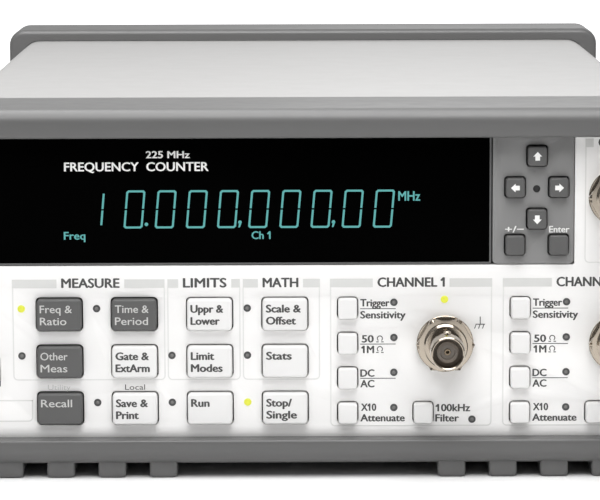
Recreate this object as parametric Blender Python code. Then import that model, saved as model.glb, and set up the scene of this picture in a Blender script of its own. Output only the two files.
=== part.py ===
"""Half-rack bench frequency counter: cabinet with moulded bumpers, carrying handle, keys, connectors and a fan.

Metres, +Z up, front towards -Y. The origin is on the table, under the middle of the whole counter.
Every sub-part is a child of the empty "front_face", whose origin is on the front panel's face at x = 0, on the
table. So a child's x runs from the middle, its y is its depth behind that face, and its z is its height.
"""

import math

import bmesh
import bpy
from mathutils import Matrix, Vector

# Driving dimensions of the cabinet and its bumpers
CABINET_WIDTH = 0.2126
CABINET_HEIGHT = 0.0885
CABINET_DEPTH = 0.3308
CABINET_CORNER = 0.0070
CABINET_BOTTOM = 0.0108
BUMPER_WIDTH = 0.2218
BUMPER_TOP = 0.1036
BUMPER_CORNER = 0.0058
BUMPER_FILLET = 0.0040
FOOT_HEIGHT = 0.0040
SHEET = 0.0012
PANEL_THICKNESS = 0.0030
GAP = 0.0003

# Depths behind the front panel's face
BUMPER_FRONT = -0.0053
FRONT_BUMPER_BACK = 0.0346
REAR_BUMPER_FRONT = 0.3235
REAR_BUMPER_BACK = 0.3568
REAR_PANEL_THICKNESS = 0.0020
REAR_FACE = CABINET_DEPTH
SOCKET_FRONT = -0.0175
FRONT_FACE_Y = -(REAR_BUMPER_BACK + SOCKET_FRONT) / 2
MID_HEIGHT = CABINET_BOTTOM + CABINET_HEIGHT / 2

# Keys: columns and rows of their centres, and their sizes
KEY_PROUD = 0.0022
KEY_CLEARANCE = 0.00035
FUNCTION_KEY = (0.0128, 0.0092)
FUNCTION_COLUMNS = (-0.0691, -0.0482, -0.0272, -0.0062)
FUNCTION_ROWS = (0.0459, 0.0326, 0.0193)
FUNCTION_NAMES = (
    ("key_frequency_ratio", "key_time_period", "key_upper_lower", "key_scale_offset"),
    ("key_other_measure", "key_gate_arm", "key_limit_modes", "key_stats"),
    ("key_recall", "key_save_print", "key_run", "key_stop_single"),
)
DARK_KEYS = ("key_frequency_ratio", "key_time_period", "key_other_measure", "key_recall")
ARROW_KEY = (0.0056, 0.0057)
ARROW_KEYS = {
    "key_left": (0.0578, 0.0812),
    "key_right": (0.0699, 0.0812),
    "key_up": (0.06385, 0.08995),
    "key_down": (0.06385, 0.0724),
    "key_sign": (0.0578, 0.0651),
    "key_enter": (0.0699, 0.0651),
}
CHANNEL_KEY = (0.0056, 0.0061)
CHANNEL_PITCH = 0.04814
CHANNEL_KEYS = {
    "trigger": (0.0113, 0.0474),
    "impedance": (0.0113, 0.0375),
    "coupling": (0.0113, 0.0277),
    "attenuate": (0.0113, 0.0178),
    "filter": (0.0324, 0.0178),
}
POWER_BUTTON = (0.0110, 0.0104)
POWER_CENTRE = (-0.0910, 0.0295)
POWER_PROUD = 0.0030

# The bumpers' openings and those of the front panel: left, right, bottom, top
LIP_EDGES = (-0.1045, 0.1045, 0.0111, 0.0955)
WINDOW_OPENING = (-0.1009, 0.0745, 0.0594, 0.0973)
WINDOW_EDGES = (-0.1006, 0.0513, 0.0597, 0.0970)
ARROW_PLATE_EDGES = (0.0516, 0.0742, 0.0597, 0.0970)

# Coaxial sockets
SOCKET_SIDES = 18
SOCKET_HOLE = 0.0066
FRONT_SOCKETS = {
    "bnc_channel_1": (0.0385, 0.0373),
    "bnc_channel_2": (0.0385 + CHANNEL_PITCH, 0.0373),
    "bnc_channel_3": (0.0862, 0.0783),
}
REAR_SOCKETS = {
    "bnc_arm_input": (0.0160, 0.0235),
    "bnc_reference_input": (0.0440, 0.0235),
    "bnc_reference_output": (0.0720, 0.0235),
}

# Rear panel
FAN_CENTRE = (-0.0330, MID_HEIGHT)
FAN_SIZE = 0.0600
FAN_BORE = 0.0285
FAN_LENGTH = 0.0250
FAN_SPINNER = 0.0140
FAN_SIDES = 32
INLET_CENTRE = (-0.0820, 0.0420)
INLET_FLANGE = (0.0310, 0.0400)
INLET_NECK = (0.0274, 0.0364)
MAINS_SOCKET = (0.0245, 0.0170)
MAINS_SOCKET_LIFT = 0.0080
FUSE_POCKET = (0.0245, 0.0090)
FUSE_POCKET_DROP = 0.0115
BUS_CENTRE = (0.0440, 0.0780)
SERIAL_CENTRE = (0.0440, 0.0500)

# Feet under both bumpers
FOOT_WIDTH = 0.0078
FOOT_PITCH = 0.01436
FIRST_FOOT = 0.0403
FEET_PER_SIDE = 5

# Handle, stowed under the back of the cabinet
PIVOT = (0.1180, MID_HEIGHT)
HANDLE_REACH = 0.1650
HANDLE_INNER = 0.1140
HANDLE_OUTER = 0.1220
HANDLE_HUB = 0.0150
HANDLE_PIN = 0.0060
HANDLE_CAP_FACE = 0.1272
ARM_HALF_WIDTH = 0.0090
CROSSBAR = (0.0180, 0.0070)
STOWED_CLEARANCE = 0.0015
HANDLE_TILT = math.degrees(math.asin((PIVOT[1] - STOWED_CLEARANCE - CROSSBAR[1] / 2) / HANDLE_REACH))


def linear(*srgb):
    """Turns an sRGB colour from 0 to 1 into Blender's linear RGBA."""
    return [c / 12.92 if c <= 0.04045 else ((c + 0.055) / 1.055) ** 2.4 for c in srgb] + [1.0]


def material(name, colour, roughness, metallic=0.0):
    made = bpy.data.materials.new(name)
    made.use_nodes = True
    shader = made.node_tree.nodes["Principled BSDF"]
    shader.inputs["Base Color"].default_value = linear(*colour)
    shader.inputs["Roughness"].default_value = roughness
    shader.inputs["Metallic"].default_value = metallic
    made.diffuse_color = linear(*colour)
    return made


# Outlines: lists of (x, z) points, anticlockwise


def arc(centre, radius, start, stop, steps):
    """Points from angle start to angle stop, in degrees, both ends included."""
    turns = [math.radians(start + (stop - start) * i / steps) for i in range(steps + 1)]
    return [(centre[0] + radius * math.cos(t), centre[1] + radius * math.sin(t)) for t in turns]


def rectangle(size, corner, steps=1, centre=(0, 0)):
    """A rectangle whose corners are arcs of a given number of steps."""
    points = []
    for sign_x, sign_z, start in ((1, 1, 0), (-1, 1, 90), (-1, -1, 180), (1, -1, 270)):
        middle = (
            centre[0] + sign_x * (size[0] / 2 - corner),
            centre[1] + sign_z * (size[1] / 2 - corner),
        )
        points += arc(middle, corner, start, start + 90, steps)
    return points


def opening(edges, corner, steps=1):
    left, right, bottom, top = edges
    centre = ((left + right) / 2, (bottom + top) / 2)
    return rectangle((right - left, top - bottom), corner, steps, centre)


def circle(radius, sides=SOCKET_SIDES, centre=(0, 0)):
    return arc(centre, radius, 0, 360, sides)[:-1]


def polygon_nut(across_flats, sides=SOCKET_SIDES):
    """A hexagon with flats at top and bottom, as the same number of points as a circle."""
    points = []
    for x, z in circle(1, sides):
        turn = math.degrees(math.atan2(z, x)) % 60 - 30
        reach = across_flats / 2 / math.cos(math.radians(turn))
        points.append((x * reach, z * reach))
    return points


def cabinet_ring(offset, steps=4):
    """The cabinet's outline, moved out by an offset."""
    size = (CABINET_WIDTH + 2 * offset, CABINET_HEIGHT + 2 * offset)
    return rectangle(size, CABINET_CORNER + offset, steps, (0, MID_HEIGHT))


# Solids


def loft(rings, closed=False, axis="Y"):
    """A mesh through (outline, position) pairs along an axis. A closed one joins its last ring to its first."""
    mesh = bmesh.new()
    loops = []
    for outline, position in rings:
        if axis == "Y":
            places = [(a, position, b) for a, b in outline]
        else:
            places = [(position, a, b) for a, b in outline]
        loops.append([mesh.verts.new(place) for place in places])
    pairs = list(zip(loops, loops[1:]))
    if closed:
        pairs.append((loops[-1], loops[0]))
    else:
        mesh.faces.new(loops[0])
        mesh.faces.new(loops[-1])
    for one, other in pairs:
        for i, start in enumerate(one):
            after = (i + 1) % len(one)
            mesh.faces.new((start, one[after], other[after], other[i]))
    bmesh.ops.recalc_face_normals(mesh, faces=mesh.faces)
    return mesh


def prism(outline, low, high, axis="Y"):
    return loft([(outline, low), (outline, high)], axis=axis)


def joined(meshes):
    """One mesh from several, whose bodies stay apart until a Boolean meets them."""
    total = bmesh.new()
    for mesh in meshes:
        data = bpy.data.meshes.new("joined")
        mesh.to_mesh(data)
        mesh.free()
        total.from_mesh(data)
        bpy.data.meshes.remove(data)
    return total


def box(low, high):
    corners = ((low[0], low[2]), (high[0], low[2]), (high[0], high[2]), (low[0], high[2]))
    return prism(corners, low[1], high[1])


def place(name, mesh, look, location=(0, 0, 0), smooth=False):
    """Adds a mesh as a sub-part of the counter, at a location behind the front panel's face."""
    data = bpy.data.meshes.new(name)
    mesh.to_mesh(data)
    mesh.free()
    if smooth:
        data.shade_smooth()
        data.set_sharp_from_angle(angle=math.radians(40))
    data.materials.append(look)
    thing = bpy.data.objects.new(name, data)
    bpy.context.scene.collection.objects.link(thing)
    thing.parent = FRONT_FACE
    thing.location = location
    return thing


def combine(thing, mesh, operation):
    """Cuts a mesh out of a sub-part, or joins it on. The mesh is in the sub-part's own coordinates."""
    data = bpy.data.meshes.new(f"{thing.name}_{operation.lower()}")
    mesh.to_mesh(data)
    mesh.free()
    tool = bpy.data.objects.new(data.name, data)
    bpy.context.scene.collection.objects.link(tool)
    tool.parent = FRONT_FACE
    tool.location = thing.location
    tool.hide_render = True
    tool.display_type = "WIRE"
    modifier = thing.modifiers.new(operation.title(), "BOOLEAN")
    modifier.operation = operation
    modifier.object = tool
    return thing


# Cabinet and bumpers


def feet(front, back):
    """Tooth-shaped feet, reaching up into a bumper's wall."""
    top = FOOT_HEIGHT + BUMPER_FILLET
    bodies = []
    for side in (-1, 1):
        for i in range(FEET_PER_SIDE):
            x = side * (FIRST_FOOT + i * FOOT_PITCH)
            bodies.append(box((x - FOOT_WIDTH / 2, front, 0), (x + FOOT_WIDTH / 2, back, top)))
    return joined(bodies)


def bumper_ring(inset):
    """A bumper's outer outline, moved in by an inset."""
    size = (BUMPER_WIDTH - 2 * inset, BUMPER_TOP - FOOT_HEIGHT - 2 * inset)
    return rectangle(size, BUMPER_CORNER - inset, 4, (0, (BUMPER_TOP + FOOT_HEIGHT) / 2))


def lip_ring(grow):
    left, right, bottom, top = LIP_EDGES
    return opening((left - grow, right + grow, bottom - grow, top + grow), 0.0025, 4)


def fillet_rings(face, inward):
    """The round outer edge at a bumper's outer face. inward is 1 where the bumper runs back from that face."""
    rings = []
    for turn in (90, 60, 30, 0):
        inset = BUMPER_FILLET * (1 - math.cos(math.radians(turn)))
        depth = face + inward * BUMPER_FILLET * (1 - math.sin(math.radians(turn)))
        rings.append((bumper_ring(inset), depth))
    return rings


def bumper(name, look, face, seat, far, inward):
    """One bumper: its outer face, the seat where its lip meets the cabinet, and its far edge on the cover."""
    soft = 0.0006
    rings = [(lip_ring(0), seat), (lip_ring(0), face + inward * soft), (lip_ring(soft), face)]
    rings += fillet_rings(face, inward)
    rings += [(bumper_ring(0), far - inward * 0.0015), (bumper_ring(0.0015), far)]
    rings += [(cabinet_ring(GAP), far), (cabinet_ring(GAP), seat)]
    thing = place(name, loft(rings, closed=True), look, smooth=True)
    low, high = sorted((face + inward * 0.0020, far - inward * 0.0025))
    return combine(thing, feet(low, high), "UNION")


def make_bumpers(look):
    bumper("front_bumper", look, BUMPER_FRONT, -GAP, FRONT_BUMPER_BACK, 1)
    bumper("rear_bumper", look, REAR_BUMPER_BACK, REAR_FACE + GAP, REAR_BUMPER_FRONT, -1)


def make_cover(look):
    front, back = PANEL_THICKNESS + GAP, CABINET_DEPTH
    outside, inside = cabinet_ring(0, 2), cabinet_ring(-SHEET, 2)
    rings = [(outside, front), (outside, back), (inside, back), (inside, front)]
    return place("cover", loft(rings, closed=True), look)


def make_chassis(look):
    """A sheet tray inside the cover, with upturned sides."""
    half = CABINET_WIDTH / 2 - SHEET - GAP
    floor = MID_HEIGHT - CABINET_HEIGHT / 2 + SHEET + GAP
    sheet, side, bend = 0.0010, 0.0220, 0.0050
    wall, inner_bend = half - sheet, bend - sheet / 2
    outline = [
        (half - bend, floor), (half, floor + bend), (half, floor + side), (wall, floor + side),
        (wall, floor + sheet + inner_bend), (wall - inner_bend, floor + sheet),
    ]
    outline += [(-x, z) for x, z in reversed(outline)]
    back = CABINET_DEPTH - REAR_PANEL_THICKNESS - GAP
    return place("chassis", prism(outline, 0.0160, back), look)


# Front panel and what is on it


def key_places():
    """Every key's name, size, centre and whether it is one of the dark ones."""
    for z, names in zip(FUNCTION_ROWS, FUNCTION_NAMES):
        for x, name in zip(FUNCTION_COLUMNS, names):
            yield name, FUNCTION_KEY, (x, z), name in DARK_KEYS
    for name, centre in ARROW_KEYS.items():
        yield name, ARROW_KEY, centre, True
    for channel in (1, 2):
        for name, (x, z) in CHANNEL_KEYS.items():
            centre = (x + (channel - 1) * CHANNEL_PITCH, z)
            yield f"key_channel_{channel}_{name}", CHANNEL_KEY, centre, False


def key_hole(size, centre):
    grown = (size[0] + 2 * KEY_CLEARANCE, size[1] + 2 * KEY_CLEARANCE)
    return prism(rectangle(grown, 0.0012, 1, centre), -0.001, PANEL_THICKNESS + 0.001)


def make_front_panel(look):
    front, back = 0.0, PANEL_THICKNESS
    edge = cabinet_ring(0, 2)
    panel = place("front_panel", prism(edge, front, back), look)
    cuts = [prism(opening(WINDOW_OPENING, 0.0015), front - 0.001, back + 0.001)]
    for name, size, centre, _ in key_places():
        if name not in ARROW_KEYS:
            cuts.append(key_hole(size, centre))
    cuts.append(key_hole(POWER_BUTTON, POWER_CENTRE))
    for centre in FRONT_SOCKETS.values():
        hole = circle(SOCKET_HOLE, centre=centre)
        cuts.append(prism(hole, front - 0.001, back + 0.001))
    return combine(panel, joined(cuts), "DIFFERENCE")


def make_display_window(look):
    return place("display_window", prism(opening(WINDOW_EDGES, 0.0012), 0.0002, 0.0022), look)


def make_arrow_key_plate(look):
    plate = place("arrow_key_plate", prism(opening(ARROW_PLATE_EDGES, 0.0012), 0, 0.0026), look)
    cuts = [key_hole(ARROW_KEY, centre) for centre in ARROW_KEYS.values()]
    return combine(plate, joined(cuts), "DIFFERENCE")


def key_mesh(size, proud=KEY_PROUD):
    """A key cap with a retaining flange behind the panel, about its own centre line."""
    flange_front = PANEL_THICKNESS + 0.0004
    flange_back = flange_front + 0.0010
    soft_edge = 0.0004

    def outline(grow, corner):
        return rectangle((size[0] + 2 * grow, size[1] + 2 * grow), corner, 1)

    return loft([
        (outline(-soft_edge, 0.0010), -proud),
        (outline(0, 0.0010), -proud + soft_edge),
        (outline(0, 0.0010), flange_front),
        (outline(0.0009, 0.0010), flange_front),
        (outline(0.0009, 0.0010), flange_back),
    ])


def make_keys(light, dark):
    for name, size, (x, z), is_dark in key_places():
        place(name, key_mesh(size), dark if is_dark else light, (x, 0, z))


def make_power_button(look):
    mesh = key_mesh(POWER_BUTTON, POWER_PROUD)
    return place("power_button", mesh, look, (POWER_CENTRE[0], 0, POWER_CENTRE[1]))


def socket_mesh(face, outward, back_length):
    """A coaxial socket on its own axis: barrel and nut outside a panel's face, flange and tail behind it.

    outward is -1 where the panel faces the front and 1 where it faces the rear."""
    inward = -outward
    panel = PANEL_THICKNESS if outward < 0 else REAR_PANEL_THICKNESS
    tip = -SOCKET_FRONT
    behind = -panel - 0.0004
    profile = [
        (circle(0.0023), tip - 0.0023), (circle(0.0023), tip - 0.0100), (circle(0.0041), tip - 0.0100),
        (circle(0.0041), tip), (circle(0.0048), tip), (circle(0.0048), 0.0065), (circle(0.0060), 0.0065),
        (circle(0.0060), 0.0040), (polygon_nut(0.0137), 0.0040), (polygon_nut(0.0137), 0.0012),
        (circle(0.0085), 0.0012), (circle(0.0085), GAP), (circle(0.0062), GAP),
        (circle(0.0062), behind), (circle(0.0078), behind), (circle(0.0078), behind - 0.0018),
        (circle(0.0050), behind - 0.0018), (circle(0.0050), -back_length),
    ]
    return loft([(outline, face - inward * height) for outline, height in profile])


def make_sockets(look):
    for name, (x, z) in FRONT_SOCKETS.items():
        place(name, socket_mesh(0, -1, 0.0120), look, (x, 0, z), smooth=True)
    for name, (x, z) in REAR_SOCKETS.items():
        place(name, socket_mesh(0, 1, 0.0160), look, (x, REAR_FACE, z), smooth=True)


# Rear panel and what is on it


def make_rear_panel(look):
    inset = -(SHEET + GAP)
    front, back = REAR_FACE - REAR_PANEL_THICKNESS, REAR_FACE
    panel = place("rear_panel", prism(cabinet_ring(inset, 1), front, back), look)
    outlines = [circle(FAN_BORE, FAN_SIDES, FAN_CENTRE)]
    outlines.append(rectangle(grown(INLET_NECK, GAP), 0.001, 1, INLET_CENTRE))
    outlines.append(rectangle((0.0396, 0.0106), 0.001, 1, BUS_CENTRE))
    outlines.append(rectangle((0.0196, 0.0106), 0.001, 1, SERIAL_CENTRE))
    outlines += [circle(SOCKET_HOLE, centre=centre) for centre in REAR_SOCKETS.values()]
    cuts = [prism(outline, front - 0.001, back + 0.001) for outline in outlines]
    return combine(panel, joined(cuts), "DIFFERENCE")


def grown(size, margin):
    return (size[0] + 2 * margin, size[1] + 2 * margin)


def shell_connector(flange, shell, hollow, tongue, cutout, reach, floor):
    """A connector with a sheet shell around its contacts, flange against the rear panel, on its own axis."""
    seat, thickness = GAP, 0.0012
    rings = []
    if tongue:
        rings += [(rectangle(tongue, 0.0005), reach - 0.001), (rectangle(tongue, 0.0005), floor)]
    rings += [
        (rectangle(hollow, 0.0008), floor), (rectangle(hollow, 0.0008), reach),
        (rectangle(shell, 0.0012), reach), (rectangle(shell, 0.0012), seat + thickness),
        (rectangle(flange, 0.0010), seat + thickness), (rectangle(flange, 0.0010), seat),
        (rectangle(cutout, 0.0008), seat), (rectangle(cutout, 0.0008), -0.0080),
    ]
    return loft(rings)


def make_connectors(look):
    bus = shell_connector(
        (0.0530, 0.0150), (0.0410, 0.0112), (0.0390, 0.0094), (0.0330, 0.0026), (0.0390, 0.0100), 0.0075, 0.0020
    )
    place("bus_connector", bus, look, (BUS_CENTRE[0], REAR_FACE, BUS_CENTRE[1]))
    serial = shell_connector(
        (0.0308, 0.0125), (0.0185, 0.0098), (0.0170, 0.0083), None, (0.0190, 0.0100), 0.0068, 0.0010
    )
    place("serial_connector", serial, look, (SERIAL_CENTRE[0], REAR_FACE, SERIAL_CENTRE[1]))


def make_power_inlet(look):
    face = 0.0028
    body = loft([
        (rectangle(INLET_FLANGE, 0.0015), face), (rectangle(INLET_FLANGE, 0.0015), GAP),
        (rectangle(INLET_NECK, 0.0010), GAP), (rectangle(INLET_NECK, 0.0010), -0.0190),
    ])
    inlet = place("power_inlet", body, look, (INLET_CENTRE[0], REAR_FACE, INLET_CENTRE[1]))
    socket = rectangle(MAINS_SOCKET, 0.0030, 1, (0, MAINS_SOCKET_LIFT))
    pocket = rectangle(FUSE_POCKET, 0.0008, 1, (0, -FUSE_POCKET_DROP))
    cuts = [prism(socket, -0.0135, face + 0.001), prism(pocket, -0.0120, face + 0.001)]
    return combine(inlet, joined(cuts), "DIFFERENCE")


def make_fuse_drawer(look):
    front = (FUSE_POCKET[0] - 2 * GAP, FUSE_POCKET[1] - 2 * GAP)
    lip = (0.0120, 0.0022)
    drawer = loft([
        (rectangle(front, 0.0008), -0.0115), (rectangle(front, 0.0008), 0.0034),
        (rectangle(lip, 0.0004), 0.0034), (rectangle(lip, 0.0004), 0.0048),
    ])
    place("fuse_drawer", drawer, look, (INLET_CENTRE[0], REAR_FACE, INLET_CENTRE[1] - FUSE_POCKET_DROP))


def make_fan(frame_look, rotor_look, guard_look):
    back = -REAR_PANEL_THICKNESS - GAP
    front = back - FAN_LENGTH
    centre = (FAN_CENTRE[0], REAR_FACE, FAN_CENTRE[1])

    frame = place("fan_frame", prism(rectangle((FAN_SIZE, FAN_SIZE), 0.004, 2), front, back), frame_look, centre)
    combine(frame, prism(circle(FAN_BORE, FAN_SIDES), front - 0.001, back + 0.001), "DIFFERENCE")
    strut = FAN_SIZE / 2 - 0.0006
    stator = prism(circle(0.0130, 16), front, front + 0.0030)
    combine(frame, box((-strut, front, -0.0015), (strut, front + 0.0020, 0.0015)), "UNION")
    combine(frame, box((-0.0015, front, -strut), (0.0015, front + 0.0020, strut)), "UNION")
    combine(frame, stator, "UNION")

    hub = prism(circle(FAN_SPINNER, 16), front + 0.0040, back - 0.0030)
    rotor = place("fan_rotor", hub, rotor_look, centre)
    blades, blade_count, pitch = [], 7, math.radians(38)
    middle = (front + back) / 2
    for i in range(blade_count):
        blade = box((FAN_SPINNER - 0.0020, -0.0088, -0.0007), (FAN_BORE - 0.0015, 0.0088, 0.0007))
        turn = Matrix.Rotation(2 * math.pi * i / blade_count, 4, "Y")
        tilt = Matrix.Rotation(pitch, 4, "X")
        blade.transform(Matrix.Translation((0, middle, 0)) @ turn @ tilt)
        blades.append(blade)
    combine(rotor, joined(blades), "UNION")

    wire, seat = 0.0016, GAP
    lug_reach = 0.0375
    bars = box((-lug_reach, seat, -wire / 2), (lug_reach, seat + wire, wire / 2))
    bars.transform(Matrix.Rotation(math.radians(45), 4, "Y"))
    guard = place("fan_guard", bars, guard_look, centre)
    other = box((-lug_reach, seat, -wire / 2), (lug_reach, seat + wire, wire / 2))
    other.transform(Matrix.Rotation(math.radians(-45), 4, "Y"))
    combine(guard, other, "UNION")
    rings = []
    for radius in (0.0090, 0.0150, 0.0210, 0.0270):
        outside, inside = circle(radius + wire / 2, 24), circle(radius - wire / 2, 24)
        low, high = seat + 0.0004, seat + wire + 0.0004
        rings.append(loft([(outside, low), (outside, high), (inside, high), (inside, low)], closed=True))
    combine(guard, joined(rings), "UNION")


# Inside the cabinet


def make_boards(board, glass, rubber, plastic):
    main = box((-0.0380, 0.0250, 0.0180), (0.1010, 0.2980, 0.0196))
    place("main_board", main, board)
    front = box((-0.1020, 0.0140, 0.0155), (0.1020, 0.0156, 0.0950))
    place("front_board", front, board)
    tube = loft([
        (opening((-0.0950, 0.0460, 0.0640, 0.0930), 0.001), 0.0040),
        (opening((-0.0950, 0.0460, 0.0640, 0.0930), 0.001), 0.0120),
    ])
    place("display_module", tube, glass)
    mat_outline = [
        (-0.0840, 0.0130), (0.1010, 0.0130), (0.1010, 0.0570), (0.0750, 0.0570),
        (0.0750, 0.0950), (0.0515, 0.0950), (0.0515, 0.0570), (-0.0840, 0.0570),
    ]
    mat = place("key_mat", prism(mat_outline, 0.0064, 0.0076), rubber)
    holes = [prism(circle(0.0090, centre=FRONT_SOCKETS[name]), 0.0054, 0.0086)
             for name in ("bnc_channel_1", "bnc_channel_2")]
    combine(mat, joined(holes), "DIFFERENCE")
    switch = box((-0.0970, 0.0073, 0.0235), (-0.0850, 0.0133, 0.0355))
    place("power_switch", switch, plastic)


def make_power_supply(look):
    """A board with a transformer, a row of capacitors and a heat sink on it."""
    board = box((-0.0990, 0.0800, 0.0180), (-0.0460, 0.2900, 0.0200))
    supply = place("power_supply", board, look)
    blocks = joined([
        box((-0.0940, 0.0900, 0.0190), (-0.0560, 0.1300, 0.0560)),
        box((-0.0940, 0.1450, 0.0190), (-0.0600, 0.1950, 0.0440)),
        box((-0.0980, 0.2100, 0.0190), (-0.0800, 0.2800, 0.0600)),
    ])
    combine(supply, blocks, "UNION")


# Handle


def arm_outline():
    """One arm seen from the side, as (depth, height) from the pivot: a hub, a straight arm and a flat foot."""
    drop = math.radians(HANDLE_TILT)
    along, across = (math.cos(drop), -math.sin(drop)), (math.sin(drop), math.cos(drop))
    hub_turn = math.degrees(math.asin(ARM_HALF_WIDTH / HANDLE_HUB))
    points = arc((0, 0), HANDLE_HUB, -HANDLE_TILT + hub_turn, 360 - HANDLE_TILT - hub_turn, 16)
    level = STOWED_CLEARANCE - PIVOT[1]
    lower = (-level - ARM_HALF_WIDTH * across[1]) / -along[1]
    foot_front = (along[0] * lower - across[0] * ARM_HALF_WIDTH, level)
    end = HANDLE_REACH * along[0] + CROSSBAR[0] / 2
    rise = (end - across[0] * ARM_HALF_WIDTH) / along[0]
    top = along[1] * rise + across[1] * ARM_HALF_WIDTH
    soft = 0.0020
    points += [foot_front, (end - soft, level), (end, level + soft), (end, top - soft), (end - soft, top + soft * 0.4)]
    return points


def make_handle(look):
    drop = math.radians(HANDLE_TILT)
    grip = (HANDLE_REACH * math.cos(drop), -HANDLE_REACH * math.sin(drop))
    bar = prism(rectangle(CROSSBAR, 0.002, 2, grip), -HANDLE_OUTER, HANDLE_OUTER, axis="X")
    handle = place("handle", bar, look, (0, *PIVOT))
    outline = arm_outline()
    arms = [
        prism(outline, -HANDLE_OUTER, -HANDLE_INNER, axis="X"),
        prism(outline, HANDLE_INNER, HANDLE_OUTER, axis="X"),
    ]
    combine(handle, joined(arms), "UNION")
    hole = circle(HANDLE_PIN + GAP, 24)
    holes = [
        prism(hole, -HANDLE_OUTER - 0.001, -HANDLE_INNER + 0.001, axis="X"),
        prism(hole, HANDLE_INNER - 0.001, HANDLE_OUTER + 0.001, axis="X"),
    ]
    combine(handle, joined(holes), "DIFFERENCE")


def make_handle_pivots(look):
    seat = CABINET_WIDTH / 2 + GAP
    profile = [
        (0.0150, seat), (0.0150, HANDLE_INNER - GAP), (HANDLE_PIN, HANDLE_INNER - GAP),
        (HANDLE_PIN, HANDLE_OUTER + GAP), (0.0120, HANDLE_OUTER + GAP),
        (0.0120, HANDLE_CAP_FACE - 0.0012), (0.0105, HANDLE_CAP_FACE),
    ]
    for name, side in (("handle_pivot_left", -1), ("handle_pivot_right", 1)):
        rings = [(circle(radius, 24), side * reach) for radius, reach in profile]
        place(name, loft(rings, axis="X"), look, (0, *PIVOT), smooth=True)


# The counter

for old in list(bpy.data.objects):
    bpy.data.objects.remove(old)
FRONT_FACE = bpy.data.objects.new("front_face", None)
FRONT_FACE.location = Vector((0, FRONT_FACE_Y, 0))
bpy.context.scene.collection.objects.link(FRONT_FACE)

BUMPER_GREY = material("bumper_grey", (0.46, 0.46, 0.45), 0.6)
COVER_GREY = material("cover_grey", (0.84, 0.83, 0.81), 0.5)
PANEL_WHITE = material("panel_white", (0.94, 0.94, 0.93), 0.5)
KEY_WHITE = material("key_white", (0.93, 0.93, 0.92), 0.5)
KEY_GREY = material("key_grey", (0.42, 0.42, 0.41), 0.55)
PLATE_GREY = material("plate_grey", (0.56, 0.56, 0.55), 0.55)
WINDOW_BLACK = material("window_black", (0.01, 0.01, 0.02), 0.1)
NICKEL = material("nickel", (0.80, 0.78, 0.74), 0.25, 1.0)
STEEL = material("steel", (0.72, 0.72, 0.71), 0.4, 1.0)
BLACK_PLASTIC = material("black_plastic", (0.05, 0.05, 0.05), 0.5)
CIRCUIT_GREEN = material("circuit_green", (0.08, 0.30, 0.15), 0.5)
TUBE_GLASS = material("tube_glass", (0.10, 0.12, 0.12), 0.1)
MAT_RUBBER = material("mat_rubber", (0.75, 0.75, 0.73), 0.8)
SUPPLY_METAL = material("supply_metal", (0.62, 0.62, 0.60), 0.5, 1.0)

make_front_panel(PANEL_WHITE)
make_display_window(WINDOW_BLACK)
make_arrow_key_plate(PLATE_GREY)
make_keys(KEY_WHITE, KEY_GREY)
make_power_button(KEY_WHITE)
make_sockets(NICKEL)
make_bumpers(BUMPER_GREY)
make_cover(COVER_GREY)
make_chassis(STEEL)
make_rear_panel(COVER_GREY)
make_connectors(STEEL)
make_power_inlet(BLACK_PLASTIC)
make_fuse_drawer(BLACK_PLASTIC)
make_fan(BLACK_PLASTIC, BLACK_PLASTIC, STEEL)
make_boards(CIRCUIT_GREEN, TUBE_GLASS, MAT_RUBBER, BLACK_PLASTIC)
make_power_supply(SUPPLY_METAL)
make_handle(BUMPER_GREY)
make_handle_pivots(BUMPER_GREY)
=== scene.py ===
"""Visual model of a half-rack bench frequency counter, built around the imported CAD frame.

Shapes are drawn in millimetres: x from the middle, depth behind the front panel's face, and height above
the table. An edge box is (left, right, bottom, top).
"""

import math

import bmesh
import bpy
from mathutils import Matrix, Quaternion, Vector


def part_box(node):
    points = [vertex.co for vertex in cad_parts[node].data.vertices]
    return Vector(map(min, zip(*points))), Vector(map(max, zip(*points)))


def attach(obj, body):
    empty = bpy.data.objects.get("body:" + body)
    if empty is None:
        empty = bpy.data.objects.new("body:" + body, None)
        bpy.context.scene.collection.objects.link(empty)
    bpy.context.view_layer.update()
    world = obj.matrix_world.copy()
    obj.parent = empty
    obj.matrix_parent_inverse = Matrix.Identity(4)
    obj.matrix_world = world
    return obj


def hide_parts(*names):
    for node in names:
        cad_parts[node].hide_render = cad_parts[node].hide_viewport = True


# Cabinet and bumpers
CABINET = (-106.3, 106.3, 10.8, 99.3)
CABINET_CORNER = 7.0
COVER_WALL = 1.2
BUMPER = (-110.9, 110.9, 4.0, 103.6)
BUMPER_CORNER = 5.8
BUMPER_FILLET = 4.0
BUMPER_MOUTH = 2.0
BUMPER_SEAT = 0.15
LIP = (-104.5, 104.5, 11.1, 95.5)
LIP_CORNER = 2.5
LIP_SOFT = 0.8
FRONT_BUMPER = (-5.3, 34.6)
REAR_BUMPER = (356.8, 323.5)
REAR_FACE = 330.8
FOOT_WIDTH = 7.8
FOOT_ROOT = 3.0
FOOT_CORNER = 1.3
FOOT_SOFT = 0.8
FOOT_ENDS = (2.0, 2.5)
FOOT_PITCH = 14.36
FIRST_FOOT = 40.3
FEET_PER_SIDE = 5
VENT_COUNT = 9
VENT_START = 232.0
VENT_PITCH = 8.0
VENT_WIDTH = 3.2
VENT_HEIGHTS = (32.0, 78.0)

# Front panel
PRINT = -0.03
PANEL_BEVEL = 0.18
CHANNEL_PITCH = 48.14
SOCKETS = {"bnc_channel_1": (38.5, 37.3), "bnc_channel_2": (86.64, 37.3), "bnc_channel_3": (86.2, 78.3)}
SOCKET_HOLE = 6.6
NUT = 8.2
LUG_DEPTH = 12.6

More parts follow.
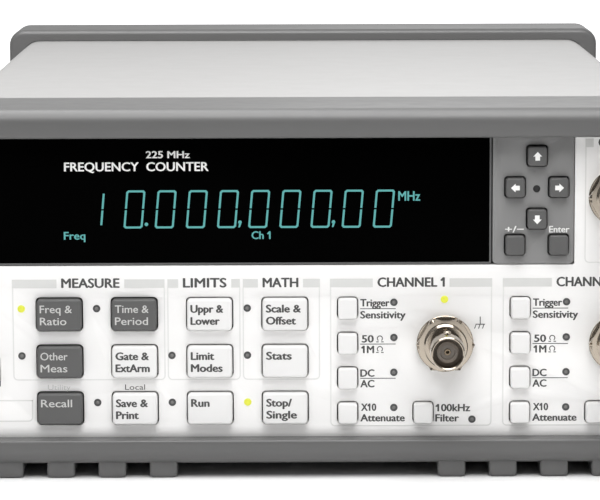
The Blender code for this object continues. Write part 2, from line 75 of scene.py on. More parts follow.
# Keys
KEY_GAP = 0.2
CAP_INSET = 0.15
CAP_BACK = 4.2
KEY_CORNER = 1.1
KEY_SOFT = 0.7
SMALL_KEY_CORNER = 0.8
SMALL_KEY_SOFT = 0.5
KEY_FLANGE = 0.9
POWER_FLANGE = 1.4
CAP_HEIGHT = 2.1
BASELINES = (0.72, -2.68)
LEGEND_INDENT = 0.95
KEY_LEGENDS = {
    "key_frequency_ratio": (("Freq &", 9.0), ("Ratio", 7.4)),
    "key_time_period": (("Time &", 9.4), ("Period", 9.2)),
    "key_upper_lower": (("Uppr &", 9.2), ("Lower", 8.2)),
    "key_scale_offset": (("Scale &", 9.8), ("Offset", 8.4)),
    "key_other_measure": (("Other", 7.6), ("Meas", 7.5)),
    "key_gate_arm": (("Gate &", 9.4), ("ExtArm", 9.6)),
    "key_limit_modes": (("Limit", 6.6), ("Modes", 8.9)),
    "key_stats": (("Stats", 7.2),),
    "key_recall": (("Recall", 8.7),),
    "key_save_print": (("Save &", 9.0), ("Print", 6.4)),
    "key_run": (("Run", 5.2),),
    "key_stop_single": (("Stop/", 7.2), ("Single", 8.6)),
}
DARK_NODES = ("key_frequency_ratio", "key_time_period", "key_other_measure", "key_recall")
ARROW_NODES = ("key_left", "key_right", "key_up", "key_down", "key_sign", "key_enter")
ARROW_TURNS = {"key_right": 0, "key_up": 90, "key_left": 180, "key_down": 270}
ARROW = ((-1.15, -0.65), (0.0, -0.65), (0.0, -1.22), (1.3, 0.0), (0.0, 1.22), (0.0, 0.65), (-1.15, 0.65))
CHANNEL_PARTS = ("trigger", "impedance", "coupling", "attenuate", "filter")
CHANNEL_NODES = [f"key_channel_{channel}_{part}" for channel in (1, 2) for part in CHANNEL_PARTS]

# Printing
FLAG = ((0.0, 0.0), (0.1, 0.0), (0.29, 0.2), (0.2, 0.26))
LAYER = 0.002
HEADER = (53.3, 55.7)
HEADER_CAP = 2.55
HEADER_BASELINE = 53.4
HEADER_MARGIN = 1.3
BOLD = 0.14
FINE = 0.03
RULE = 0.34
RULE_CORNER = 1.3
GROUP_FLOOR = 27.2
CHANNEL_LEFT = 6.4
CHANNEL_FLOOR = 13.9
CHANNEL_RIGHTS = {"CHANNEL 1": 51.6, "CHANNEL 2": 103.2}
CHANNEL_WORDS = (
    ("Trigger", 14.8, 47.9, 8.2), ("Sensitivity", 14.8, 44.5, 12.7),
    ("50", 15.2, 37.7, 3.4), ("1M", 15.0, 34.7, 3.7),
    ("DC", 14.8, 28.0, 4.0), ("AC", 14.8, 25.0, 4.0),
    ("X10", 15.0, 18.3, 4.3), ("Attenuate", 14.8, 15.3, 12.5),
    ("100kHz", 35.8, 18.1, 9.8), ("Filter", 35.8, 15.2, 6.7),
)

# Lamps
LAMP_RADIUS = 1.05
FUNCTION_LAMPS = [(x, 47.5) for x in (-79.7, -58.7, -16.7)]
FUNCTION_LAMPS += [(x, 34.2) for x in (-79.7, -37.8, -16.7)]
FUNCTION_LAMPS += [(x, 20.9) for x in (-58.7, -37.8, -16.7)]
CHANNEL_LAMPS = ((24.2, 49.0), (24.2, 39.05), (24.2, 29.2), (24.2, 19.2), (46.1, 15.8))
TRIGGER_LAMP = (38.3, 49.8)
LIT_LAMPS = ((-79.7, 47.5), (-16.7, 20.9), TRIGGER_LAMP)
PLATE_LAMP = (63.8, 80.75)
DARK_LENS = ((0.5, -0.12), (0.42, -0.26), (0.25, -0.34))
LIT_LENS = ((0.98, -0.10), (0.8, -0.28), (0.45, -0.4))

# Display window
WINDOW_HOLE = (-100.9, 74.4, 59.5, 97.2)
WINDOW_FRAME = 0.55
PANE_DEPTH = 0.2
DIGIT_WIDTH = 5.3
DIGIT_HEIGHT = 10.65
DIGIT_SLANT = math.tan(math.radians(5.1))
DIGIT_STROKE = 0.55
DIGIT_CHAMFER = 0.5
DIGIT_GAP = 0.22
DIGIT_PITCH = 8.66
FIRST_ZERO = (-51.0, 69.95)
ZERO_COUNT = 9
LEADING_ONE = (-57.5, 70.0)
LIT_WORDS = (
    ("MHz", 25.4, 77.5, 2.6, 6.1), ("Ch 1", -15.4, 66.9, 2.1, 5.3), ("Freq", -67.6, 66.9, 2.1, 6.0),
)
WINDOW_WORDS = (("FREQUENCY  COUNTER", -67.3, 86.0, 2.4, 40.1), ("225 MHz", -44.6, 89.6, 1.9, 12.2))
POINT_RADIUS = 0.5

# Rear panel
REAR_SOCKETS = {"bnc_arm_input": 16.0, "bnc_reference_input": 44.0, "bnc_reference_output": 72.0}
REAR_SOCKET_HEIGHT = 23.5
CORNER_SCREWS = [(x, height) for x in (-98.0, 98.0) for height in (20.0, 90.0)]
GROUND_SCREW = (92.0, 40.0)
FAN_SCREW = 25.0
INLET_HEIGHT = 50.0
INLET_PINS = ((-7.0, -1.8), (7.0, -1.8), (0.0, 1.8))
REAR_WORDS = (
    ("EXT ARM", 16.0, 33.6, 2.3), ("REF IN", 44.0, 33.6, 2.3), ("10 MHz OUT", 72.0, 33.6, 2.3),
    ("REMOTE BUS", 44.0, 66.6, 2.3), ("SERIAL", 44.0, 39.9, 2.3),
    ("100-240 V  50-60 Hz", -82.0, 66.0, 2.2), ("FUSE", -82.0, 16.6, 2.2),
)
SERIAL = (44.0, 50.0)
BUS = (44.0, 78.0)
SHELL_TAPER = 0.08
WIRE = 0.8

# Handle
PIVOT = (118.0, 55.05)
HANDLE_REACH = 165.0
HANDLE_FLOOR = 1.5
GRIP_DEPTH = 18.0
GRIP_HEIGHT = 7.0
GRIP_CORNER = 3.0
HANDLE_DROP = math.asin((PIVOT[1] - HANDLE_FLOOR - GRIP_HEIGHT / 2) / HANDLE_REACH)
ARM_SIDES = (114.0, 122.0)
ARM_HALF = 9.0
ARM_SOFT = 3.0
HANDLE_BEVEL = 1.4
HUB = 15.0
PIVOT_HOLE = 6.3
PIVOT_PROFILE = (
    (9.5, 106.4), (9.5, 113.7), (6.0, 113.9), (6.0, 122.4), (11.5, 122.4), (12.5, 123.4),
    (12.5, 124.6), (11.6, 126.2), (9.5, 127.0), (6.0, 127.2), (5.6, 126.6), (0.05, 126.6),
)

# Studio
CAMERA = (-3.4, -875.0, 183.7)
AIM = (-1.93, 0.0, 63.8)
LENS = 190.5
ROLL = -0.18
SKY_LOW = 0.12
SKY_RISE = 0.35
SKY_SEEN = 1.05
BACKDROP = 0.30
FLOOR_REACH = 14.0
LIGHTS = (  # name, place, the place it faces, size in metres, power
    ("soft_top", (-50, 20, 520), (0, 70, 50), (0.6, 0.34), 3.1),
    ("soft_rear", (500, 1500, 750), (0, 330, 60), (1.2, 0.6), 2.3),
    ("soft_front", (-20, -720, 1100), (0, 0, 60), (1.3, 0.6), 10.7),
)

# CAD nodes that stay in view, each with its look
NODE_LOOKS = {
    "chassis": "steel", "main_board": "board", "front_board": "board", "display_module": "tube",
    # The key mat's near-black look is painted shade in the gaps round the keys.
    "key_mat": "gap_shade_mat", "power_supply": "supply", "power_switch": "black", "fan_frame": "black",
    "fan_rotor": "black", "fuse_drawer": "black", "power_inlet": "black", "rear_panel": "rear_panel",
}


# Shapes


class Shape:
    """Points and faces of one piece, each face with the number of its material."""

    def __init__(self):
        self.points = []
        self.faces = []
        self.looks = []

    def add(self, points, faces, look=0):
        """Adds points, and faces that count from the first of them."""
        start = len(self.points)
        self.points += points
        self.faces += [[start + i for i in face] for face in faces]
        self.looks += [look] * len(faces)

    def loft(self, rings, closed=False, caps=True, look=0):
        """A skin through rings of equally many points."""
        count = len(rings[0])
        faces = []
        spans = len(rings) if closed else len(rings) - 1
        for k in range(spans):
            one, other = k * count, (k + 1) % len(rings) * count
            for i in range(count):
                after = (i + 1) % count
                faces.append([one + i, one + after, other + after, other + i])
        if caps and not closed:
            faces.append(list(range(count)))
            faces.append([(len(rings) - 1) * count + i for i in range(count)])
        self.add([point for points in rings for point in points], faces, look)

    def lathe(self, centre, profile, steps=64, look=0, closed=False):
        """A turned body about the line through (x, height), from (radius, depth) pairs."""
        rings = [ring(around(centre, radius, steps), depth) for radius, depth in profile]
        self.loft(rings, closed=closed, look=look)

    def bar(self, points, *depths, look=0):
        """An outline carried straight through the depths."""
        self.loft([ring(points, depth) for depth in depths], look=look)

    def flat(self, points, depth, look=0):
        """A printed patch. Its outline runs anticlockwise as seen from the side that it faces."""
        self.add(ring(points, depth), [list(range(len(points)))], look)

    def patch(self, left, right, bottom, top, look=0, depth=PRINT):
        """A rectangular patch facing the front, or the rear if left and right are swapped."""
        self.flat([(left, bottom), (right, bottom), (right, top), (left, top)], depth, look)

    def band(self, outer, inner, depth, look=0):
        """A printed stroke between two lines of equally many points."""
        for i in range(len(outer) - 1):
            self.flat([outer[i], outer[i + 1], inner[i + 1], inner[i]], depth, look)

    def block(self, edges, front, back, corner, soft, look=0, steps=5):
        """A block with round corners, and a rounded edge around its front."""
        rings = [ring(outline(edges, corner, steps), back)]
        for inset, depth in rounding(soft, steps):
            rings.append(ring(outline(grown(edges, -inset), max(corner - inset, 0.05), steps), front + depth))
        self.loft(rings, look=look)

    def build(self, name, looks, sharp=35.0, clean=True):
        """The finished mesh object, in metres and in the row frame."""
        mesh = bpy.data.meshes.new(name)
        mesh.from_pydata([place(*point) for point in self.points], [], self.faces)
        mesh.polygons.foreach_set("material_index", self.looks)
        for look in looks:
            mesh.materials.append(LOOKS[look])
        thing = bpy.data.objects.new(name, mesh)
        bpy.context.scene.collection.objects.link(thing)
        if clean:
            outward(mesh)
        smooth(mesh, sharp)
        return thing


def place(x, depth, height):
    """From millimetres on the front panel to metres in the row frame."""
    return Vector((x / 1000, FACE + depth / 1000, height / 1000))


def outward(mesh):
    """Turns every face of a closed mesh outward."""
    solid = bmesh.new()
    solid.from_mesh(mesh)
    bmesh.ops.recalc_face_normals(solid, faces=solid.faces)
    solid.to_mesh(mesh)
    solid.free()


def smooth(mesh, sharp):
    """Shades a mesh smooth, apart from edges sharper than an angle in degrees."""
    mesh.polygons.foreach_set("use_smooth", [True] * len(mesh.polygons))
    mesh.set_sharp_from_angle(angle=math.radians(sharp))


def grown(edges, grow):
    """An edge box with each side moved out."""
    left, right, bottom, top = edges
    return left - grow, right + grow, bottom - grow, top + grow


def outline(edges, corner, steps=8):
    """A rectangle with round corners, as (x, height) pairs."""
    left, right, bottom, top = grown(edges, -corner)
    middles = ((right, top), (left, top), (left, bottom), (right, bottom))
    points = []
    for quarter, (x, height) in enumerate(middles):
        for i in range(steps + 1):
            turn = math.pi / 2 * (quarter + i / steps)
            points.append((x + corner * math.cos(turn), height + corner * math.sin(turn)))
    return points


def ring(points, depth):
    """An outline placed at a depth."""
    return [(x, depth, height) for x, height in points]


def around(centre, radius, steps=32):
    """A circle's points."""
    turned = [2 * math.pi * i / steps for i in range(steps)]
    return [(centre[0] + radius * math.cos(t), centre[1] + radius * math.sin(t)) for t in turned]


def rounding(soft, steps):
    """A quarter round, as (inset, depth) pairs from its side to its end."""
    turns = [math.pi / 2 * i / steps for i in range(steps + 1)]
    return [(soft * (1 - math.cos(turn)), soft * (1 - math.sin(turn))) for turn in turns]


def apply(thing, kind, **settings):
    """Applies one modifier to a thing."""
    modifier = thing.modifiers.new(kind, kind)
    for key, value in settings.items():
        setattr(modifier, key, value)
    bpy.context.view_layer.update()
    evaluated = thing.evaluated_get(bpy.context.evaluated_depsgraph_get())
    mesh = bpy.data.meshes.new_from_object(evaluated)
    thing.modifiers.clear()
    thing.data = mesh


def cut(thing, shape):
    """Cuts a shape's bodies out of a thing."""
    join(thing, shape.build("cutter", []), "DIFFERENCE")


def cut_through(thing, outlines, front, back):
    """Cuts holes of those outlines through a flat piece."""
    holes = Shape()
    for points in outlines:
        holes.bar(points, front - 2, back + 2)
    cut(thing, holes)


def join(thing, other, operation):
    """Joins another mesh to a thing, or cuts it out, and takes the other one away."""
    apply(thing, "BOOLEAN", operation=operation, solver="EXACT", object=other)
    bpy.data.objects.remove(other)


def bevel(thing, width, segments, angle):
    """Softens a thing's edges that are sharper than an angle."""
    limit = math.radians(angle)
    apply(thing, "BEVEL", width=width / 1000, segments=segments, limit_method="ANGLE", angle_limit=limit)
    smooth(thing.data, 30)


def edges_of(node):
    """A CAD node's edge box, and its front and back depths."""
    low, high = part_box(node)
    across = (low.x * 1000, high.x * 1000, low.z * 1000, high.z * 1000)
    return across, (low.y - FACE) * 1000, (high.y - FACE) * 1000


def middle_of(edges):
    """An edge box's middle, as (x, height)."""
    return (edges[0] + edges[1]) / 2, (edges[2] + edges[3]) / 2


# Lettering


def glyphs(words):
    """The words in the built-in font as flat points and faces. Each figure one gets a flag at its top."""
    curve = bpy.data.curves.new("words", "FONT")
    curve.body = words
    curve.resolution_u = 3
    thing = bpy.data.objects.new("words", curve)
    bpy.context.scene.collection.objects.link(thing)
    bpy.context.view_layer.update()
    mesh = bpy.data.meshes.new_from_object(thing.evaluated_get(bpy.context.evaluated_depsgraph_get()))
    points = [(vertex.co.x, vertex.co.y) for vertex in mesh.vertices]
    faces = [list(polygon.vertices) for polygon in mesh.polygons]
    bpy.data.meshes.remove(mesh)
    for end in [i + 1 for i, letter in enumerate(words) if letter == "1"]:
        curve.body = words[:end]
        bpy.context.view_layer.update()
        stem = thing.evaluated_get(bpy.context.evaluated_depsgraph_get()).bound_box
        right = max(corner[0] for corner in stem)
        faces.append([len(points) + i for i in range(len(FLAG))])
        points += [(right - back, CAPITAL - drop) for back, drop in FLAG]
    bpy.data.objects.remove(thing)
    return points, faces


def write(shape, words, x, baseline, cap, width=None, anchor="left", bold=0.07,
          look=0, depth=PRINT, rear=False):
    """Prints words with a given height of capitals, and a given overall width where one is stated.

    bold spreads the strokes by that many millimetres to each side.
    """
    points, faces = glyphs(words)
    left = min(px for px, _ in points)
    span = max(px for px, _ in points) - left
    stretch = (width - 2 * bold) / span if width else cap / CAPITAL
    start = {"left": -bold, "centre": span * stretch / 2, "right": span * stretch + bold}[anchor]
    side = -1 if rear else 1
    lift = cap / CAPITAL
    copies = [(0, 0)]
    if bold:
        copies += [(-bold, 0), (bold, 0), (0, -bold * 0.5), (0, bold * 0.5)]
    for layer, (across, up) in enumerate(copies):
        placed = [(x + side * ((px - left) * stretch - start) + across, baseline + py * lift + up)
                  for px, py in points]
        shape.add(ring(placed, depth - side * layer * LAYER), faces, look)


# Materials


class Value:
    """A socket in a node tree that can be used in sums."""

    def __init__(self, nodes, socket):
        self.nodes = nodes
        self.socket = socket

    def math(self, operation, other):
        return self.nodes.add("ShaderNodeMath", {"operation": operation}, {0: self, 1: other})

    def sibling(self, name):
        """Another output of the same node."""
        return Value(self.nodes, self.socket.node.outputs[name])

    def held(self):
        """The value, kept from 0 to 1."""
        return self.math("MAXIMUM", 0.0).math("MINIMUM", 1.0)

    def __add__(self, other):
        return self.math("ADD", other)

    def __sub__(self, other):
        return self.math("SUBTRACT", other)

    def __mul__(self, other):
        return self.math("MULTIPLY", other)

    def __rsub__(self, other):
        return (self * -1.0).math("ADD", other)

    __radd__ = __add__
    __rmul__ = __mul__


class Nodes:
    """The nodes of one material or of the world."""

    def __init__(self, owner):
        owner.use_nodes = True
        self.tree = owner.node_tree

    def add(self, kind, settings, inputs, output=0):
        """Adds a node and gives one output, counted among those in use."""
        made = self.tree.nodes.new(kind)
        for key, value in settings.items():
            setattr(made, key, value)
        for key, value in inputs.items():
            by_name = [socket for socket in made.inputs if socket.enabled and socket.name == key]
            self.feed(by_name[0] if by_name else made.inputs[key], value)
        outputs = [socket for socket in made.outputs if socket.enabled]
        return Value(self, outputs[output])

    def feed(self, socket, value):
        """Links or sets one input."""
        if isinstance(value, Value):
            self.tree.links.new(value.socket, socket)
        else:
            socket.default_value = value


def linear(red, green, blue):
    """An sRGB colour out of 255 as linear RGBA."""
    def decoded(c):
        c = c / 255
        return c / 12.92 if c <= 0.04045 else ((c + 0.055) / 1.055) ** 2.4
    return (decoded(red), decoded(green), decoded(blue), 1.0)


def grey(level, warmth=0.0):
    """A linear grey, a little warmer or cooler."""
    return (level * (1 + warmth), level, level * (1 - warmth), 1.0)


def faded(colour, amount):
    """A colour made darker by a factor."""
    return tuple(c * amount for c in colour[:3]) + (1.0,)


class Finish(Nodes):
    """A material made of one Principled shader and what feeds it."""

    def __init__(self, name, **settings):
        self.material = bpy.data.materials.new(name)
        super().__init__(self.material)
        self.shader = self.tree.nodes["Principled BSDF"]
        self.set(**settings)

    def set(self, **settings):
        """Sets or links the shader's inputs, each named with _ for a space."""
        for key, value in settings.items():
            self.feed(self.shader.inputs[key.replace("_", " ")], value)
        return self.material

    def where(self):
        """Points on the piece itself, in metres."""
        return self.add("ShaderNodeTexCoord", {}, {}, output=3)

    def noise(self, size, detail=2.0, stretch=(1, 1, 1)):
        """Smooth noise from 0 to 1 with grains of a size in millimetres."""
        scaled = self.add("ShaderNodeVectorMath", {"operation": "MULTIPLY"}, {0: self.where(), 1: stretch})
        return self.add("ShaderNodeTexNoise", {}, {"Vector": scaled, "Scale": 1000 / size, "Detail": detail})

    def mix(self, amount, one, other):
        """A colour between two."""
        return self.add("ShaderNodeMix", {"data_type": "RGBA"}, {"Factor": amount, "A": one, "B": other})

    def bump(self, height, depth):
        """Relief of a depth in millimetres."""
        inputs = {"Strength": 1.0, "Distance": depth / 1000, "Height": height}
        return self.set(Normal=self.add("ShaderNodeBump", {}, inputs))

    def shades(self, one, other, size):
        """A base colour that drifts between two, over patches of a size in millimetres."""
        return self.set(Base_Color=self.mix(self.noise(size), one, other))

    def polish(self, roughness, spread, size):
        """A roughness that drifts by a spread, over patches of a size in millimetres."""
        return self.set(Roughness=self.noise(size) * spread + (roughness - spread / 2))


def moulded(name, colour, roughness, grain=0.35, relief=0.012, drift=0.05):
    """Moulded plastic with a fine grain, and slightly uneven in colour and gloss."""
    finish = Finish(name)
    finish.shades(colour, faded(colour, 1 - drift), 18)
    finish.polish(roughness, 0.12, 7)
    return finish.bump(finish.noise(grain), relief)


def painted(name, colour, roughness):
    """Textured paint on sheet metal."""
    finish = Finish(name)
    finish.shades(colour, faded(colour, 0.96), 30)
    finish.polish(roughness, 0.1, 9)
    return finish.bump(finish.noise(0.5, 3.0), 0.02)


def bright_metal(name, colour, roughness, size=4.0):
    """Plated or cast metal, with slow drifts in colour and polish."""
    finish = Finish(name, Metallic=1.0)
    finish.shades(colour, faded(colour, 0.9), size)
    return finish.polish(roughness, 0.1, size * 0.7)


def sheet_steel(name, colour):
    """Rolled sheet with faint lines along its depth."""
    finish = Finish(name, Metallic=1.0)
    lines = finish.noise(0.8, 3.0, (1, 0.03, 1))
    finish.set(Base_Color=finish.mix(lines, colour, faded(colour, 0.8)))
    return finish.set(Roughness=lines * 0.2 + 0.25)


def ink(name, colour):
    """Printing ink, not quite even."""
    return Finish(name, Roughness=0.5).shades(colour, faded(colour, 0.93), 6)


def glow(name, colour, strength):
    """A lit display segment or lamp."""
    finish = Finish(name, Base_Color=grey(0.01), Roughness=0.4, Emission_Strength=strength)
    return finish.set(Emission_Color=finish.mix(finish.noise(1.5), colour, faded(colour, 0.9)))


def smoked_window(name):
    """A glossy, almost black window."""
    finish = Finish(name, Specular_IOR_Level=0.004)
    finish.shades(grey(0.0004), grey(0.0008), 25)
    return finish.polish(0.08, 0.04, 20)


def circuit_board(name):
    """Green lacquer with copper tracks under it."""
    finish = Finish(name, Roughness=0.35)
    tracks = finish.noise(4, 0.0, (1, 0.15, 1)).math("GREATER_THAN", 0.5)
    return finish.set(Base_Color=finish.mix(tracks, linear(14, 70, 30), linear(30, 100, 48)))


def tube_glass(name):
    """The dark glass of the display tube."""
    return Finish(name, Roughness=0.08, Coat_Weight=0.5).shades(linear(20, 26, 28), linear(34, 44, 46), 8)


def floor_white(name):
    """A white floor that grows brighter away from the counter, into the white surroundings."""
    finish = Finish(name, Roughness=0.6, Specular_IOR_Level=0.1)
    finish.shades(grey(0.93), grey(0.90), 400)
    reach = finish.add("ShaderNodeVectorMath", {"operation": "LENGTH"}, {0: finish.where()})
    far = (reach * 2.2 - 0.7).held()
    seen = finish.add("ShaderNodeLightPath", {}, {})
    return finish.set(Emission_Color=finish.mix(far * seen, grey(0.0), grey(1.0)), Emission_Strength=1.0)


def make_looks():
    """Every material, under the name of its look."""
    return {
        "bumper": moulded("bumper_plastic", grey(0.111, 0.008), 0.38, relief=0.007),
        "handle": moulded("handle_plastic", grey(0.112, 0.008), 0.38, relief=0.008),
        "cover": painted("cover_paint", grey(0.375, 0.012), 0.45),
        "rear_panel": painted("rear_panel_paint", grey(0.60, 0.012), 0.5),
        "panel": moulded("panel_plastic", grey(0.85, 0.010), 0.48, drift=0.02),
        "plate": moulded("plate_plastic", grey(0.228, 0.006), 0.5),
        "key_white": moulded("key_white_plastic", grey(0.76, 0.008), 0.45, drift=0.02),
        "key_dark": moulded("key_dark_plastic", grey(0.092, 0.008), 0.48),
        "ink_dark": ink("ink_dark", linear(70, 70, 69)),
        "ink_pale": ink("ink_pale", linear(212, 212, 210)),
        "ink_line": ink("ink_line", linear(222, 222, 220)),
        "ink_grey": ink("ink_grey", linear(196, 196, 194)),
        "ink_white": ink("ink_white", linear(240, 240, 238)),
        "window": smoked_window("window_smoked"),
        "window_frame": moulded("window_frame_plastic", grey(0.10), 0.5),
        "glow": glow("glow_teal", linear(86, 172, 170), 1.0),
        "lamp_lit": glow("lamp_lit", linear(236, 240, 70), 1.0),
        "lamp_dark": moulded("lamp_dark", grey(0.055), 0.3, relief=0.002),
        "lamp_lens": moulded("lamp_lens", grey(0.17, 0.02), 0.25, relief=0.002),
        "nickel": bright_metal("nickel_plate", (0.43, 0.375, 0.31, 1.0), 0.11, size=9),
        "contact": bright_metal("contact_brass", (0.30, 0.24, 0.17, 1.0), 0.3),
        "steel": sheet_steel("steel_zinc", (0.62, 0.62, 0.60, 1.0)),
        "screw": bright_metal("screw_zinc", (0.58, 0.58, 0.56, 1.0), 0.3),
        "chrome": bright_metal("wire_plated", (0.68, 0.68, 0.68, 1.0), 0.2),
        "supply": bright_metal("supply_aluminium", (0.42, 0.42, 0.41, 1.0), 0.42),
        "black": moulded("black_plastic", grey(0.02), 0.42, drift=0.2),
        "insulator": moulded("insulator_plastic", grey(0.17, 0.16), 0.35, relief=0.003),
        "board": circuit_board("board_lacquer"),
        "tube": tube_glass("tube_glass"),
        # Key mat: really grey rubber, made near black as painted shade in the gaps round the keys.
        "gap_shade_mat": moulded("mat_rubber", grey(0.06), 0.65),
        # Near black: the plate lamp's own dark lens, and painted shade for the screws' cross recesses.
        "dark": moulded("black_lens_and_painted_recess_shade", grey(0.01), 0.7),
        "floor": floor_white("floor_white"),
    }


# Cabinet


def inset_ring(edges, corner, inset, depth):
    """A ring inside an edge box, with its corners drawn in as far."""
    return ring(outline(grown(edges, -inset), corner - inset, 10), depth)


def foot(shape, x, front, back):
    """A tooth under a bumper, with round lower corners and soft ends."""
    inward = 1 if back > front else -1
    ends = [(inset, inward * depth) for inset, depth in reversed(rounding(FOOT_SOFT, 3))]
    ends = [(inset, front + depth) for inset, depth in ends]
    ends += [(inset, front + back - depth) for inset, depth in reversed(ends)]
    edges = (x - FOOT_WIDTH / 2, x + FOOT_WIDTH / 2, 0.0, BUMPER[2] + FOOT_ROOT)
    shape.loft([ring(outline(grown(edges, -inset), FOOT_CORNER, 4), depth) for inset, depth in ends])


def make_bumper(name, depths, seat):
    """One bumper, from its outer face inward over the cover. depths are its outer face and its far edge."""
    face, far = depths
    inward = 1 if far > face else -1
    rings = [inset_ring(LIP, LIP_CORNER, 0, seat)]
    for inset, depth in rounding(LIP_SOFT, 3):
        rings.append(inset_ring(LIP, LIP_CORNER, -inset, face + inward * depth))
    for inset, depth in reversed(rounding(BUMPER_FILLET, 8)):
        rings.append(inset_ring(BUMPER, BUMPER_CORNER, inset, face + inward * depth))
    for inset, depth in rounding(BUMPER_MOUTH, 6):
        rings.append(inset_ring(BUMPER, BUMPER_CORNER, inset, far - inward * depth))
    inner = outline(grown(CABINET, BUMPER_SEAT), CABINET_CORNER, 10)
    rings += [ring(inner, far), ring(inner, seat)]
    shape = Shape()
    shape.loft(rings, closed=True)
    for side in (-1, 1):
        for i in range(FEET_PER_SIDE):
            x = side * (FIRST_FOOT + i * FOOT_PITCH)
            foot(shape, x, face + inward * FOOT_ENDS[0], far - inward * FOOT_ENDS[1])
    thing = shape.build(name, ["bumper"])
    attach(thing, "counter")
    return thing


def make_cover():
    """The sheet sleeve, a little inside both bumpers."""
    _, front, back = edges_of("cover")
    outer = outline(CABINET, CABINET_CORNER, 12)
    inner = outline(grown(CABINET, -COVER_WALL), CABINET_CORNER - COVER_WALL, 12)
    shape = Shape()
    shape.loft([ring(outer, front), ring(outer, back), ring(inner, back), ring(inner, front)], closed=True)
    cover = shape.build("cover_sleeve", ["cover"])
    slots = Shape()
    for side in (-1, 1):
        for i in range(VENT_COUNT):
            depth = VENT_START + i * VENT_PITCH
            points = outline((depth, depth + VENT_WIDTH, *VENT_HEIGHTS), VENT_WIDTH / 2 - 0.05, 5)
            slots.loft([[(side * (CABINET[1] + step), d, h) for d, h in points] for step in (-3, 2)])
    cut(cover, slots)
    outward(cover.data)
    smooth(cover.data, 35)
    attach(cover, "counter")
    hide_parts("cover")


def make_front_panel():
    """The white panel, with round-cornered holes for its window, keys and sockets."""
    edges, front, back = edges_of("front_panel")
    shape = Shape()
    shape.bar(outline(edges, 2.0, 6), front, back)
    panel = shape.build("front_panel_moulding", ["panel"])
    outlines = [key_hole(node, 1.3) for node in [*KEY_LEGENDS, *CHANNEL_NODES, "power_button"]]
    outlines += [around(centre, SOCKET_HOLE) for centre in SOCKETS.values()]
    outlines.append(outline(WINDOW_HOLE, 0.5, 3))
    cut_through(panel, outlines, front, back)
    bevel(panel, PANEL_BEVEL, 2, 50)
    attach(panel, "counter")
    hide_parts("front_panel")


# Keys


def key_edges(node):
    """A key cap's edges, without the flange behind the panel, and the depth of its face."""
    edges, front, _ = edges_of(node)
    return grown(edges, -POWER_FLANGE if node == "power_button" else -KEY_FLANGE), front


def key_hole(node, corner):
    """The outline of a key's hole in its panel."""
    return outline(grown(key_edges(node)[0], KEY_GAP), corner, 5)


def key_cap(node, corner=SMALL_KEY_CORNER, soft=SMALL_KEY_SOFT):
    """A cap with a soft edge. Gives the shape, its edges and the depth of its print."""
    edges, front = key_edges(node)
    edges = grown(edges, -CAP_INSET)
    shape = Shape()
    shape.block(edges, front, CAP_BACK, corner, soft)
    return shape, edges, front + PRINT


def finish_key(shape, node, looks):
    """Makes a cap, which rides on its own CAD key and replaces it."""
    cap = shape.build(node + "_cap", looks, clean=False)
    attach(cap, node)
    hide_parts(node)


def make_function_key(node):
    """A large key with one or two printed words."""
    cap, words_ink, bold = "key_white", "ink_dark", BOLD
    if node in DARK_NODES:
        cap, words_ink, bold = "key_dark", "ink_grey", FINE
    shape, edges, depth = key_cap(node, KEY_CORNER, KEY_SOFT)
    middle = middle_of(edges)[1]
    for (words, width), lift in zip(KEY_LEGENDS[node], BASELINES):
        write(shape, words, edges[0] + LEGEND_INDENT, middle + lift, CAP_HEIGHT, width,
              bold=bold, look=1, depth=depth)
    finish_key(shape, node, [cap, words_ink])


def make_arrow_key(node):
    """A small dark key, with its arrow where it has one."""
    shape, edges, depth = key_cap(node)
    if node in ARROW_TURNS:
        x, height = middle_of(edges)
        turn = math.radians(ARROW_TURNS[node])
        along, across = math.cos(turn), math.sin(turn)
        arrow = [(x + a * along - h * across, height + a * across + h * along) for a, h in ARROW]
        shape.flat(arrow, depth, look=1)
    finish_key(shape, node, ["key_dark", "ink_white"])


def make_channel_key(node):
    """A small white key with no print."""
    finish_key(key_cap(node)[0], node, ["key_white"])


def make_power_button():
    """The power button, with a plain upright stroke printed on it."""
    shape, edges, depth = key_cap("power_button", 2.0, 0.9)
    x = middle_of(edges)[0]
    shape.patch(x - 0.35, x + 0.35, edges[2] + 3.6, edges[3] - 3.6, 1, depth)
    finish_key(shape, "power_button", ["key_white", "ink_dark"])


# Printing on the front panel


def rule(shape, left, right, bottom, top, look=0):
    """A thin printed line around a group, open at the top, with round lower corners."""
    def path(inset):
        corner = RULE_CORNER - inset
        points = [(left + inset, top)]
        for start, x in ((180, left + RULE_CORNER), (270, right - RULE_CORNER)):
            for i in range(5):
                turn = math.radians(start + 90 * i / 4)
                points.append((x + corner * math.cos(turn), bottom + RULE_CORNER + corner * math.sin(turn)))
        return points + [(right - inset, top)]

    shape.band(path(0.0), path(RULE), PRINT, look)


def header(shape, words, left, right, word_left, word_right, lift=0.0, bar=1):
    """A group's title between two bars."""
    bottom, top = HEADER[0] + lift, HEADER[1] + lift
    shape.patch(left, word_left - HEADER_MARGIN, bottom, top, bar)
    shape.patch(word_right + HEADER_MARGIN, right, bottom, top, bar)
    write(shape, words, word_left, HEADER_BASELINE + lift, HEADER_CAP, word_right - word_left, bold=BOLD)


def print_groups(shape):
    """Titles and outlines of the three groups of function keys."""
    header(shape, "MEASURE", -82.2, -39.7, -68.5, -52.2)
    header(shape, "LIMITS", -38.9, -18.7, -34.6, -22.4)
    header(shape, "MATH", -17.9, 3.6, -12.4, -2.4)
    for left, right in ((-82.2, -39.6), (-39.0, -18.6), (-18.0, 3.6)):
        rule(shape, left, right, GROUP_FLOOR, HEADER[0], 2)
    write(shape, "Local", -48.2, 24.5, 1.5, 5.6, "centre", bold=0.0)
    write(shape, "Utility", -69.4, 24.5, 1.5, 6.3, "centre", bold=0.0, look=1)


